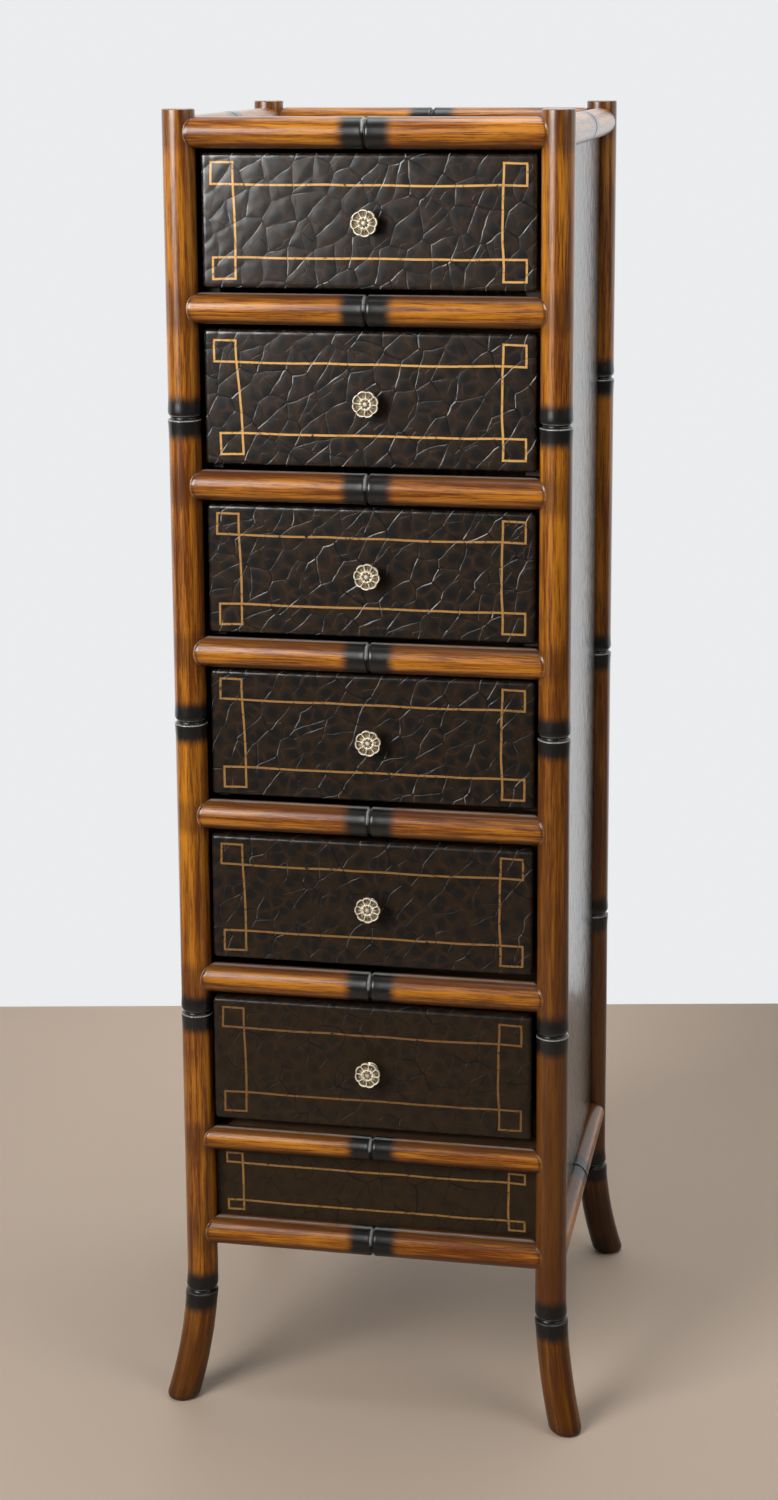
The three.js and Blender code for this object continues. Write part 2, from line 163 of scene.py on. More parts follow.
class Value:
    """The output of a node. Python's own operators on it add Math nodes to its tree."""

    def __init__(self, tree, socket):
        self.tree = tree
        self.socket = socket

    def __add__(self, other):
        return self.tree.math("ADD", self, other)

    __radd__ = __add__

    def __sub__(self, other):
        return self.tree.math("SUBTRACT", self, other)

    def __rsub__(self, other):
        return self.tree.math("SUBTRACT", other, self)

    def __mul__(self, other):
        return self.tree.math("MULTIPLY", self, other)

    def __truediv__(self, other):
        return self.tree.math("DIVIDE", self, other)

    def __abs__(self):
        return self.tree.math("ABSOLUTE", self)


class Tree:
    """Adds nodes to a shader tree or a geometry tree."""

    def __init__(self, nodes):
        self.nodes = nodes.nodes
        self.links = nodes.links

    def add(self, kind, setup=None, inputs=None, output=0):
        """Adds a node, sets it up, then fills or links its inputs, and gives one of its outputs."""
        node = self.nodes.new(kind)
        for name, value in (setup or {}).items():
            setattr(node, name, value)
        for key, value in (inputs or {}).items():
            if isinstance(value, Value):
                self.links.new(value.socket, node.inputs[key])
            else:
                node.inputs[key].default_value = value
        return Value(self, node.outputs[output])

    def math(self, operation, *values):
        return self.add("ShaderNodeMath", {"operation": operation}, dict(enumerate(values)))

    def smallest(self, a, b):
        return self.math("MINIMUM", a, b)

    def largest(self, a, b):
        return self.math("MAXIMUM", a, b)

    def step(self, value, start, end):
        """Rises smoothly from 0 where the value is at start to 1 where it is at end."""
        return self.add(
            "ShaderNodeMapRange", {"interpolation_type": "SMOOTHSTEP"},
            {"Value": value, "From Min": start, "From Max": end})

    def attribute(self, name):
        return self.add("ShaderNodeAttribute", {"attribute_name": name}, output="Vector")

    def parts(self, vector):
        node = self.add("ShaderNodeSeparateXYZ", inputs={0: vector}).socket.node
        return [Value(self, socket) for socket in node.outputs]

    def vector(self, x, y, z):
        return self.add("ShaderNodeCombineXYZ", inputs={0: x, 1: y, 2: z})

    def stretched(self, vector, factors):
        return self.add("ShaderNodeVectorMath", {"operation": "MULTIPLY"}, {0: vector, 1: factors})

    def moved(self, vector, by):
        return self.add("ShaderNodeVectorMath", {"operation": "ADD"}, {0: vector, 1: by})

    def noise(self, vector, scale, detail=2, roughness=0.5, output="Fac"):
        return self.add(
            "ShaderNodeTexNoise", {},
            {"Vector": vector, "Scale": scale, "Detail": detail, "Roughness": roughness}, output)

    def streaked(self, vector, factors, detail, roughness=0.5, output="Fac"):
        """Noise that each factor makes finer along its own axis."""
        return self.noise(self.stretched(vector, factors), 1, detail, roughness, output)

    def cells(self, vector, scale, feature):
        return self.add(
            "ShaderNodeTexVoronoi", {"voronoi_dimensions": "2D", "feature": feature},
            {"Vector": vector, "Scale": scale}, "Distance")

    def place(self):
        return self.add("ShaderNodeTexCoord", output="Object")

    def ray(self, kind):
        return self.add("ShaderNodeLightPath", output=f"Is {kind} Ray")

    def bump(self, height):
        """The normal of a surface with this relief, in metres."""
        return self.add(
            "ShaderNodeBump", inputs={"Strength": 1, "Distance": 1, "Height": height}, output="Normal")

    def blend(self, factor, a, b):
        """Mixes two colours, each a colour value or three numbers."""
        a, b = (x if isinstance(x, Value) else (*x, 1) for x in (a, b))
        return self.add("ShaderNodeMix", {"data_type": "RGBA"}, {0: factor, 6: a, 7: b}, 2)


def surface(name, **constants):
    """A new material's tree and its Principled shader, with the shader's constant sockets set."""
    material = bpy.data.materials.new(name)
    material.use_nodes = True
    shader = material.node_tree.nodes["Principled BSDF"]
    for socket, value in constants.items():
        shader.inputs[socket.replace("_", " ")].default_value = value
    return material, Tree(material.node_tree), shader


def wire(tree, shader, **inputs):
    for socket, value in inputs.items():
        tree.links.new(value.socket, shader.inputs[socket.replace("_", " ")])


# Finishes


def lacquered_wood():
    """Streaky amber wood under lacquer, scorched at its nodes, with dark glaze at its joints and
    painted shade in its corners, on its undersides and low on its posts. Its mark attribute holds the
    way to a scorched band, the share of glaze and painted shade and the share of char and painted
    shade, or below
    0 the share of painted highlight."""
    wood = settings().wood
    material, tree, shader = surface("lacquered wood", Specular_IOR_Level=0.12, Coat_Roughness=0.27)
    grain = tree.attribute("grain")
    node, glaze_and_shade, mark = tree.parts(tree.attribute("mark"))
    wander = tree.streaked(grain, (45, 45, 7), 1, output="Color")
    grain = tree.moved(grain, tree.stretched(wander, (0.0028, 0.0028, 0)))
    lines = tree.streaked(grain, (950, 950, 30), 3, 0.6)
    pores = tree.streaked(grain, (2300, 2300, 130), 1)
    figure = tree.streaked(grain, (150, 150, 6), 2, 0.6)
    drift = tree.streaked(grain, (28, 28, 9), 1)
    tone = tree.step(figure * 0.6 + drift * 0.35 + lines * 0.4, 0.52, 0.83)
    base = tree.blend(tone, wood.amber, wood.brown)
    streaks = tree.step(lines * 0.8 + pores * 0.4 + figure * 0.4, 0.775, 0.98)
    base = tree.blend(streaks * 0.8, base, wood.streak)
    uneven = (lines - 0.5) * 0.5 + (figure - 0.5) * 0.5
    # Painted shade: the glaze share also darkens the inner sides, the rails' tops and undersides and
    # the lower posts.
    stained = tree.step(glaze_and_shade + uneven, 0.12, 0.9)
    base = tree.blend(stained * 0.85, base, wood.stain_and_shade)
    charred = tree.largest(1 - tree.step(node + (lines - 0.5) * 0.018, -0.0065, 0.0055), mark)
    base = tree.blend(charred, base, wood.scorch)
    # Painted highlights: pale glints at the node and groove lips, along the rail tops, at the rail ends
    # and at the post tops.
    wear_and_glint = tree.largest(mark * -1, 0) * tree.step(lines + pores * 0.5, 0.5, 0.8)
    base = tree.blend(wear_and_glint, base, wood.painted_glint)
    handled = tree.step(tree.parts(tree.place())[2], -0.1, 0.65) * 0.8 + 0.2
    wire(tree, shader, Base_Color=base, Roughness=lines * 0.16 + 0.22,
         Normal=tree.bump((lines + pores * 0.5) * -0.000022), Coat_Weight=handled * wood.coat)
    return material


CRACK_WIDTH = 0.0009
FOLD_WIDTH = 0.0012
LIP_AWAY = 0.00057


def embossing(tree, u, v):
    """The hide's embossed pattern at a place on its skin: how far up a dome between the creases, how
    deep in a crease, how near a crease's lip, where a highlight is painted, how near the dark middle of
    a cell and how near the ring round it."""
    cell = settings().hide.cell
    fold = settings().hide.fold
    sway = tree.noise(tree.vector(u, v, 0), 26, 2, 0.5, "Color")
    drift = tree.stretched(sway, (0.012, 0.012, 0))
    place = tree.moved(tree.vector(u, v, 0), drift)
    edge = tree.cells(place, 1 / cell, "DISTANCE_TO_EDGE") * cell
    out = tree.cells(place, 1 / cell, "F1")
    spot = 1 - tree.step(out, 0.22, 0.46)
    ring = 1 - tree.step(edge, 0.0004, 0.0026)
    broken = tree.step(tree.noise(place, 30, 1), 0.5, 0.62)
    cracks = (1 - tree.smallest(edge / CRACK_WIDTH, 1)) * broken * 0.75
    slanted = tree.moved(tree.vector(u * 0.46 + v * 0.63, u * 0.92 - v * 0.66, 0), drift)
    away = tree.cells(slanted, 1 / fold, "DISTANCE_TO_EDGE") * fold
    depth = tree.step(tree.noise(tree.vector(v, u, 0), 30, 1), 0.36, 0.62) * 0.85 + 0.15
    reach = tree.smallest(away / FOLD_WIDTH, 1)
    folds = (1 - reach) * (1 - reach * 0.25) * depth
    # Painted highlight: lip marks the one side of each crease where a highlight is painted.
    beside = tree.cells(tree.moved(slanted, (0, LIP_AWAY, 0)), 1 / fold, "DISTANCE_TO_EDGE") * fold
    lip = tree.step((beside - away) / 0.0005, 0.45, 1.0) * depth
    lip = lip * (1 - tree.step(away, 0.0007, FOLD_WIDTH))
    slope = tree.smallest(away / (fold * 0.42), 1)
    dome = slope * (2 - slope) * 0.8 + tree.step(edge, 0, cell * 0.45) * 0.2
    return dome, tree.largest(cracks, folds), lip, spot, ring


def tooled_lines(tree, u, v, lines):
    """A border of four gilt lines that cross near the corners and close into small squares there.
    lines are the inner and outer distances from the middle, across and up."""
    inner_u, outer_u, inner_v, outer_v = lines
    half = settings().hide.line_width / 2
    sway = tree.noise(tree.vector(u, v, 0), 13, 1, 0.5, "Color")
    sway_u, sway_v, _ = tree.parts(sway)
    across = abs(u + (sway_u - 0.5) * 0.005)
    up = abs(v + (sway_v - 0.5) * 0.005)

    def line(value, place):
        return 1 - tree.step(abs(value - place), half - 0.00025, half + 0.00025)

    def within(value, low, high):
        inside = 1 - tree.step(value, high + half - 0.0002, high + half + 0.0002)
        if low is None:
            return inside
        return inside * tree.step(value, low - half - 0.0002, low - half + 0.0002)

    long_line = line(up, inner_v) * within(across, None, outer_u)
    tall_line = line(across, inner_u) * within(up, None, outer_v)
    short_line = line(up, outer_v) * within(across, inner_u, outer_u)
    end_line = line(across, outer_u) * within(up, inner_v, outer_v)
    return tree.largest(tree.largest(long_line, tall_line), tree.largest(short_line, end_line))


def hide_finish(name, gloss, lines=None):
    """Dark embossed leather. Its skin attribute is the place on the hide, with the strength of the
    creases, and its panel attribute is the place on the panel, with the brightness of the gilt."""
    hide = settings().hide
    material, tree, shader = surface(name, Specular_IOR_Level=0.12, Coat_Roughness=0.2)
    u, v, strength = tree.parts(tree.attribute("skin"))
    dome, crease, lip, spot, ring = embossing(tree, u, v)
    place = tree.vector(u, v, 0)
    mottle = tree.noise(place, 70, 2, 0.6)
    pebble = tree.cells(place, 420, "SMOOTH_F1")
    base = tree.blend(spot, hide.between, hide.centre)
    rubbed = tree.step(mottle, 0.35, 0.65) * (strength * 0.3 + 0.25)
    base = tree.blend(ring * rubbed, base, hide.edge)
    if lines:
        base = tree.blend((1 - tree.step(strength, 0, 0.6)) * 0.5, base, hide.dull)
    # Painted shade: the creases are darkened towards the colour of a cell's centre.
    base = tree.blend(crease * 0.9, base, tuple(c * 0.3 for c in hide.centre))
    # Painted highlight: the pale lip colour on one side of the creases, stronger where the creases are
    # strong.
    bold = tree.step(tree.noise(place, 62, 2), 0.42, 0.68) * 0.85 + 0.14
    bold = bold * (1 if lines else 0.35)
    base = tree.blend(lip * strength * strength * bold, base, hide.lip)
    height = (crease * strength) * -hide.crease + pebble * (0.00002 if lines else 0.00005)
    rough = 0.36 + mottle * 0.12 - dome * 0.06
    if lines:
        across, up, bright = tree.parts(tree.attribute("panel"))
        gilt = tooled_lines(tree, across, up, lines)
        kept = tree.step(tree.noise(place, 160, 2), 0.22, 0.42)
        gilt = gilt * kept * (1 - crease * 0.6)
        ink = tree.blend(bright, hide.worn_and_shaded_gilt, hide.gilt)
        base = tree.blend(gilt, base, ink)
        height = height - gilt * 0.00012
    wire(tree, shader, Base_Color=base, Roughness=rough, Normal=tree.bump(height),
         Coat_Weight=strength * strength * gloss + 0.06)
    return material


def cast_brass():
    """Brass rubbed bright on its high parts, tarnished in the hollows."""
    brass = settings().brass
    material, tree, shader = surface("cast brass")
    raised, _, _ = tree.parts(tree.attribute("relief"))
    spots = tree.noise(tree.place(), 700, 2)
    clean = tree.step(raised + (spots - 0.5) * 0.12, 0.42, 0.62)
    base = tree.blend(clean, brass.patina, brass.bright)
    wire(tree, shader, Base_Color=base, Roughness=0.55 - clean * 0.15, Metallic=clean * 0.2 + 0.3,
         Normal=tree.bump(spots * 0.00004))
    return material


def planed_wood(name, along, pale, dark):
    """Plain planed wood whose grain runs along one axis of the chest."""
    material, tree, shader = surface(name)
    place = tree.place()
    lines = tree.streaked(place, [9 if i == along else 520 for i in range(3)], 3, 0.6)
    figure = tree.streaked(place, [1.6 if i == along else 26 for i in range(3)], 1)
    rings = abs(tree.math("FRACT", figure * 9) - 0.5) * 2
    base = tree.blend(tree.step(lines * 0.7 + rings * 0.3 + figure * 0.2, 0.4, 0.8), pale, dark)
    wire(tree, shader, Base_Color=base, Roughness=lines * 0.2 + 0.5, Normal=tree.bump(lines * 0.0001))
    return material


# Meshes


def lattice(rows, columns, closed):
    """Quads between the rows of a grid of points. A closed grid joins its last column to its first."""
    row = np.arange(rows - 1)[:, None]
    column = np.arange(columns if closed else columns - 1)[None, :]
    after = (column + 1) % columns
    quads = np.stack([
        row * columns + column, row * columns + after,
        (row + 1) * columns + after, (row + 1) * columns + column], axis=-1)
    return quads.reshape(-1, 4).tolist()


def linked(name, data):
    """A new object of the scene, made of this data."""
    thing = bpy.data.objects.new(name, data)
    bpy.context.scene.collection.objects.link(thing)
    return thing


def new_piece(name, points, faces, material, **vectors):
    """An object of its own mesh, smooth, with vector attributes on its points."""
    mesh = bpy.data.meshes.new(name)
    mesh.from_pydata(np.asarray(points).tolist(), [], faces)
    for attribute, values in vectors.items():
        layer = mesh.attributes.new(attribute, "FLOAT_VECTOR", "POINT")
        layer.data.foreach_set("vector", np.asarray(values, np.float32).ravel())
    mesh.materials.append(material)
    mesh.shade_smooth()
    return linked(name, mesh)


def merged_mesh(name, material, *meshes, within=0):
    """One new mesh out of others, with the points merged that lie within a distance of each other."""
    joined = bmesh.new()
    for mesh in meshes:
        joined.from_mesh(mesh)
    if within:
        bmesh.ops.remove_doubles(joined, verts=joined.verts, dist=within)
    whole = bpy.data.meshes.new(name)
    joined.to_mesh(whole)
    joined.free()
    whole.materials.append(material)
    return whole


def hand_in(piece, body, slot, *nodes):
    """Says which body a piece moves with and which CAD nodes it stands for, and hides them; slot is not
    used.
    """
    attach(piece, body)
    if nodes:
        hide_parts(*nodes)


def capped(rings, ends):
    """Points and faces of a closed piece: rings of points up its length and a point for each end."""
    rows, sides, _ = rings.shape
    points = np.vstack([rings.reshape(-1, 3), ends])
    faces = lattice(rows, sides, True)
    first, last = rows * sides, rows * sides + 1
    top = (rows - 1) * sides
    for side in range(sides):
        after = (side + 1) % sides
        faces.append((first, after, side))
        faces.append((last, top + side, top + after))
    return points, faces


def rings_about_z(radius, z, sides):
    """Rings of points about Z, each with its own radius and height."""
    angle = np.linspace(0, 2 * math.pi, sides, endpoint=False)
    radius, z = radius[:, None], z[:, None]
    return np.stack([radius * np.cos(angle), radius * np.sin(angle), z + 0 * angle], axis=-1)


def ramp(values, start, end):
    """Goes in a straight line from 0 where the values are at start to 1 where they are at end."""
    return np.clip((values - start) / (end - start), 0, 1)


def band(values, middle, half):
    """1 where the values are at the middle, falling to 0 at half the band's width from it."""
    return np.clip(1 - np.abs(values - middle) / half, 0, 1)


# Turned posts and rails


SIDES = 48

# Height from the middle of a node and change of the post's radius there, in metres.
NODE_SHAPE = [
    (-0.016, 0.0), (-0.010, 0.00025), (-0.0042, 0.0006), (-0.0030, 0.00062), (-0.0024, 0.00035),
    (-0.0021, -0.0001), (-0.0006, -0.0019), (0.0002, -0.0021), (0.0010, -0.0018),
    (0.0022, -0.0007), (0.0035, 0.0001), (0.0050, 0.00045), (0.0075, 0.0005), (0.016, 0.0)]

# Way from the middle of a rail in half widths of its groove, and the surface in groove depths.
GROOVE_SHAPE = [
    (0, -1.0), (0.2, -0.88), (0.5, -0.5), (0.85, -0.1), (1.0, 0.0), (1.35, 0.06), (1.8, 0.07),
    (2.4, 0.04), (4.0, 0.0)]


def post_heights(post, top):
    """Heights of a post's nodes, and of its rings, which are close together at nodes and ends."""
    nodes = np.linspace(post.lowest_node, post.highest_node, post.node_count)
    rounding = 1 - np.cos(np.linspace(0, math.pi / 2, 7))
    by_node = np.concatenate([
        np.arange(-0.016, -0.004, 0.002), np.arange(-0.004, 0.0061, 0.00035),
        np.arange(0.0065, 0.0165, 0.002)])
    heights = [node + by_node for node in nodes]
    heights += [np.arange(0.006, top - 0.004, 0.011), post.foot_edge * rounding,
                top - post.top_edge * rounding]
    return nodes, np.unique(np.round(np.concatenate(heights), 6))


def turned_post(name, index, corner, rails):
    """A bamboo post: round in section, rounded at its ends, bent outwards towards its foot. corner
    holds the signs of its X and Y, and rails the heights of the rails that meet it."""
    post = settings().post
    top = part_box(name)[1].z
    nodes, z = post_heights(post, top)
    radius = np.where(z < nodes[0], post.foot_radius, post.radius)
    shape_z, shape_r = np.array(NODE_SHAPE).T
    for node in nodes:
        radius = radius + np.interp(z - node, shape_z, shape_r, 0, 0)
    for start, edge in ((z, post.foot_edge), (top - z, post.top_edge)):
        inside = np.clip(1 - start / edge, 0, 1)
        radius = radius - edge * (1 - np.sqrt(1 - inside ** 2))
    level = rings_about_z(radius, z, SIDES)
    outward = corner / math.sqrt(2)
    below = np.clip(post.bend_height - z, 0, None)
    along = np.sqrt(post.bend_radius ** 2 - below ** 2)
    stretch = (level @ outward) * (post.bend_radius / along - 1)[:, None]
    offset = (post.bend_radius - along)[:, None]
    rings = level + (stretch + offset)[..., None] * outward + corner * post_axis()
    points, faces = capped(rings, rings[[0, -1]].mean(axis=1))
    level = np.vstack([level.reshape(-1, 3), [[0, 0, 0], [0, 0, top]]])
    shift = np.array([0.31, 0.17, 0.73]) * (index + 1)
    give_turned(name, points, faces, level + shift, post_marks(level, corner, nodes, rails, top))


def post_marks(level, corner, nodes, rails, top):
    """The mark attribute at points of a post, which are given as they lay before the bend."""
    radius = settings().post.radius
    z = level[:, 2]
    away = z[:, None] - nodes
    away = np.take_along_axis(away, np.abs(away).argmin(axis=1)[:, None], axis=1)[:, 0]
    rail_away = np.abs(z[:, None] - np.array(rails)).min(axis=1)
    inward = (level * -corner).max(axis=1) / radius
    # Dark glaze at the rail joints, painted shade on the inner sides above the bend, and darker towards
    # the foot.
    glaze_and_shade = np.maximum.reduce([
        ramp(rail_away, 0.036, 0.014) * 0.7,
        ramp(inward, 0.6, 1) * ramp(z, 0.17, 0.2) * 0.6,
        0.84 - ramp(z, 0.06, 0.16) * 0.42])
    # Painted shade that grows downwards from 0.13 m, stronger on the right posts.
    low_shade, fading = (1.05, 0.72) if corner[0] > 0 else (0.5, 0.95)
    glaze_and_shade = np.where(z > 0.13, np.maximum(glaze_and_shade, low_shade - (z - 0.13) * fading), glaze_and_shade)
    glaze_and_shade = np.maximum(glaze_and_shade, ramp(z, top - 0.014, top - 0.004) * 0.7)
    # Painted highlights: pale lines at the node lips, at the lowest node only on the front, and a pale
    # rim at the top.
    at_foot = np.abs(z - nodes[0]) < 0.02
    upper_lip = np.where(at_foot, ramp(-level[:, 1] / radius, 0.44, 0.84) * 0.85, 0.45)
    lower_lip = np.where(at_foot, 0.14, 0.7)
    wear_and_glint = np.maximum.reduce([
        band(away, -0.0026, 0.0008) * lower_lip,
        band(away, 0.0022, 0.0008) * upper_lip,
        ramp(z, top - 0.0012, top - 0.0004) * 0.4])
    outer = level @ corner / math.sqrt(2) / radius
    # Char at the foot tips, with painted shade on their inner sides and on the rear feet.
    char_and_shade = np.maximum.reduce([
        ramp(z, 0.045, 0.015) * np.clip(0.35 - outer, 0, 1) * 0.9,
        ramp(z, 0.13, 0.08) * (0.6 if corner[1] > 0 else 0),
        ramp(z, 0.011, 0.003) * 0.6])
    return np.stack([np.abs(away) - settings().wood.post_band, glaze_and_shade, char_and_shade - wear_and_glint], axis=-1)


def give_turned(name, points, faces, grain, marks):
    """Puts a turned piece of lacquered wood in place of its CAD solid."""
    finish = bpy.data.materials.get("lacquered wood") or lacquered_wood()
    piece = new_piece(name + "_turned", points, faces, finish, grain=grain, mark=marks)
    hand_in(piece, "frame", "lacquered_wood", name)


def post_axis():
    """How far the posts' axes stand from the middle of the chest."""
    low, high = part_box("side_rail_upper_right")
    return (low.x + high.x) / 2


def turned_rail(name, index, along):
    """A round rail along X or Y (0 or 1), grooved at its middle, with ends coped over the posts."""
    rail = settings().rail
    post = settings().post
    low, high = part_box(name)
    across = 1 - along
    radius = (high.z - low.z) / 2
    middle = (low + high) / 2
    side = math.copysign(1, middle[across])
    axis = post_axis()
    angle = np.linspace(0, 2 * math.pi, SIDES, endpoint=False)
    apart = radius * np.sin(angle) + middle[across] - side * axis
    apart = np.clip(apart, -post.radius, post.radius)
    coped = np.minimum(axis - np.sqrt(post.radius ** 2 - apart ** 2), axis - 0.0045)
    outer = np.clip(np.sin(angle) * side, 0, 1)
    blunt = axis - rail.shy - (post.radius - rail.shy) * (1 - outer)
    end = np.where(outer > 0.02, blunt, coped)
    near = rail.end_edge * (1 - np.cos(np.linspace(0, math.pi / 2, 9)))
    near = np.concatenate([near, [0.0053, 0.0065, 0.008, 0.01, 0.0125, 0.016, 0.021]])
    groove = rail.groove_width / 2
    inner = np.concatenate([
        np.linspace(0.13, 0.02, 10), [0.012, 0.008, 0.0055, 0.0042],
        groove * np.array([1.35, 1.15, 1.0, 0.85, 0.5, 0.2, 0.05])])
    half = np.vstack([end - near[:, None], np.repeat(inner[:, None], SIDES, axis=1)])
    places = np.vstack([-half, half[::-1]])
    from_end = end - np.abs(places)
    into = np.clip(1 - from_end / rail.end_edge, 0, 1)
    groove_x, groove_r = np.array(GROOVE_SHAPE).T
    thick = radius - rail.end_drop * into ** 1.4 + rail.groove_depth * np.interp(
        np.abs(places) / groove, groove_x, groove_r, right=0.0)
    cover = np.sqrt(np.clip(post.radius ** 2 - (axis - np.abs(places)) ** 2, 0, None))
    lip = (rail.lap + 0.0008) * np.sqrt(1 - into ** 2) - 0.0008
    short = cover + axis - abs(middle[across]) + lip - thick * outer
    push = (short + np.sqrt(short ** 2 + 0.0005 ** 2)) / 2 * np.clip(outer / 0.22, 0, 1)
    rings = np.zeros((*places.shape, 3))
    rings[..., along] = places
    rings[..., across] = thick * np.sin(angle) + np.where(cover > 0, push, 0) * side
    rings[..., 2] = thick * np.cos(angle)
    shut = np.zeros((2, 3))
    shut[:, along] = [post.radius - 0.001 - axis, axis - post.radius + 0.001]
    if along == 1:
        rings[..., across] *= -1
    points, faces = capped(rings, shut)
    faces = [face[::-1] for face in faces]
    place = np.array(middle)
    place[along] = 0
    grain = points[:, [across, 2, along]] + np.array([0.41, 0.23, 0.61]) * (index + 5)
    marks = rail_marks(np.cos(angle), places, from_end, outer, middle.z)
    give_turned(name, points + place, faces, grain, marks)


def rail_marks(upright, places, from_end, outer, height):
    """The mark attribute of a rail. upright is 1 on top of it and -1 under it, outer is 1 on its
    lapped side, and height is its own above the floor."""
    open_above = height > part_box("drawer_1_front")[1].z
    # Painted shade: the tops and undersides of the rails are darker, less so on top where no drawer is
    # above.
    edges = ramp(np.abs(upright), 0.35, 0.8) * 0.95
    edges = np.where((upright > 0) & open_above, edges * 0.4, edges)
    # Painted shade under each rail, reaching higher on the lower rails.
    shade = ramp(-upright, 0.45 * height, 0.45 * height + 0.4)
    glaze_and_shade = np.maximum(np.maximum(edges, shade), 0.36)
    glaze_and_shade = np.maximum(ramp(from_end, 0.03, 0) * 0.6, glaze_and_shade)
    glaze_and_shade = np.maximum(glaze_and_shade, np.clip(1.2 - np.abs(from_end - 0.003) / 0.003, 0, 1) * 0.8)
    # Painted highlights: at the groove's left lip on top, in a line along the top and at the lip of a
    # lapped end.
    groove_lip = np.clip(1.3 - np.abs(places + 0.0015) / 0.0011, 0, 1)
    groove_lip = groove_lip * (outer > 0.1) * np.clip(upright * 5, 0, 1)
    top_glint = ramp(upright, 0.93, 0.98) * (outer > 0) * 0.5
    end_lip = ramp(from_end, 0.0014, 0) * (outer > 0.1) * 0.35
    wear_and_glint = np.maximum(np.maximum(groove_lip, top_glint), end_lip)
    band_away = np.abs(places) - settings().wood.rail_band
    marks = np.stack([band_away, glaze_and_shade, -wear_and_glint], axis=-1).reshape(-1, 3)
    return np.vstack([marks, [[band_away.max(), 1, 0]] * 2])


# Leather-clad boards


def clad_board(name, low, high, facing, material, pitch, edge, skin, strength, bright=0, lean=0,
               drop=0):
    """A board wrapped in leather: a grid on its face, rolled over rounded edges to its back. facing
    is the face's outward axis, as a signed axis number such as (1, -1) for -Y. pitch is the size of
    the grid, skin the place on the hide, strength that of the creases, bright that of the gilt, lean
    the slant of the left gilt line and drop how far the gilt lies below the middle."""
    axis, sign = facing
    low, high = np.array(low), np.array(high)
    up = 1 if axis == 2 else 2
    side = 3 - axis - up
    middle = (low + high) / 2
    arc = edge * math.pi / 2
    fall = high[axis] - low[axis] - edge
    outer = np.concatenate([np.linspace(0, arc, 6)[1:], arc + fall * np.array([0.3, 0.65, 1.0])])

    def spread(flat):
        count = max(2, int(round(2 * flat / pitch)) + 1)
        return np.concatenate([-flat - outer[::-1], np.linspace(-flat, flat, count), flat + outer])

    limits = (high - low)[[side, up]] / 2 - edge
    spot = np.stack(np.meshgrid(spread(limits[0]), spread(limits[1]), indexing="xy"))
    flat = np.stack([np.clip(p, -limit, limit) for p, limit in zip(spot, limits)])
    excess = spot - flat
    reach = np.abs(excess).max(axis=0)
    angle = np.clip(reach / edge, 0, math.pi / 2)
    rounded = flat + excess / np.maximum(np.hypot(*excess), 1e-9) * edge * np.sin(angle)
    down = edge * (1 - np.cos(angle)) + np.clip(reach - arc, 0, None)
    rows, columns = reach.shape
    points = np.zeros((rows, columns, 3))
    points[..., side] = middle[side] + rounded[0]
    points[..., up] = middle[up] + rounded[1]
    points[..., axis] = (high[axis] if sign > 0 else low[axis]) - sign * down
    faces = lattice(rows, columns, False)
    grid = np.arange(rows * columns).reshape(rows, columns)
    rim = np.concatenate([grid[0], grid[1:, -1], grid[-1, -2::-1], grid[-2:0:-1, 0]])
    faces.append(rim[::-1].tolist())
    right_handed = (side, up, axis) in ((0, 1, 2), (1, 2, 0), (2, 0, 1))
    mirrored = right_handed != (sign > 0)
    if mirrored:
        faces = [face[::-1] for face in faces]
    p, q = spot
    strengths = strength + 0.3 * np.clip(reach / edge, 0, 1)
    skins = np.stack([(-p if mirrored else p) + skin[0], q + skin[1], strengths], axis=-1)
    leaning = lean * np.clip(-p / 0.12, 0, 1) * np.clip(0.5 - q / 0.1, 0, 1)
    panels = np.stack([p - leaning, q + drop, np.full(p.shape, bright)], axis=-1)
    piece = new_piece(name, points.reshape(-1, 3), faces, material, skin=skins, panel=panels)
    return apply_tree(piece, doming_tree(), {"Height": settings().hide.dome, "Material": material})


def geometry_tree(name, **inputs):
    """A geometry tree with the named inputs, and values for its group inputs."""
    group = bpy.data.node_groups.new(name, "GeometryNodeTree")
    for label, kind in {"Geometry": "Geometry", **inputs}.items():
        group.interface.new_socket(name=label, in_out="INPUT", socket_type="NodeSocket" + kind)
    group.interface.new_socket(name="Geometry", in_out="OUTPUT", socket_type="NodeSocketGeometry")
    tree = Tree(group)
    source = tree.nodes.new("NodeGroupInput")
    values = [Value(tree, socket) for socket in source.outputs][:len(inputs) + 1]
    return group, tree, values


def close_tree(tree, geometry, material):
    """Ends a geometry tree in real faces that carry the material."""
    real = tree.add("GeometryNodeRealizeInstances", inputs={"Geometry": geometry})
    dressed = tree.add("GeometryNodeSetMaterial", inputs={"Geometry": real, "Material": material})
    output = tree.nodes.new("NodeGroupOutput")
    tree.links.new(dressed.socket, output.inputs[0])


def doming_tree():
    """Presses a leather skin down between the cells of its embossing."""
    known = bpy.data.node_groups.get("embossed skin")
    if known:
        return known
    group, tree, (mesh, height, material) = geometry_tree(
        "embossed skin", Height="Float", Material="Material")
    skin = tree.add("GeometryNodeInputNamedAttribute", {"data_type": "FLOAT_VECTOR"},
                    {"Name": "skin"}, "Attribute")
    u, v, strength = tree.parts(skin)
    dome = embossing(tree, u, v)[0]
    sunk = (dome - 1) * height * (strength * 0.75 + 0.25)
    normal = tree.add("GeometryNodeInputNormal")
    offset = tree.add("ShaderNodeVectorMath", {"operation": "SCALE"}, {0: normal, "Scale": sunk})
    pressed = tree.add("GeometryNodeSetPosition", inputs={"Geometry": mesh, "Offset": offset})
    close_tree(tree, pressed, material)
    return group


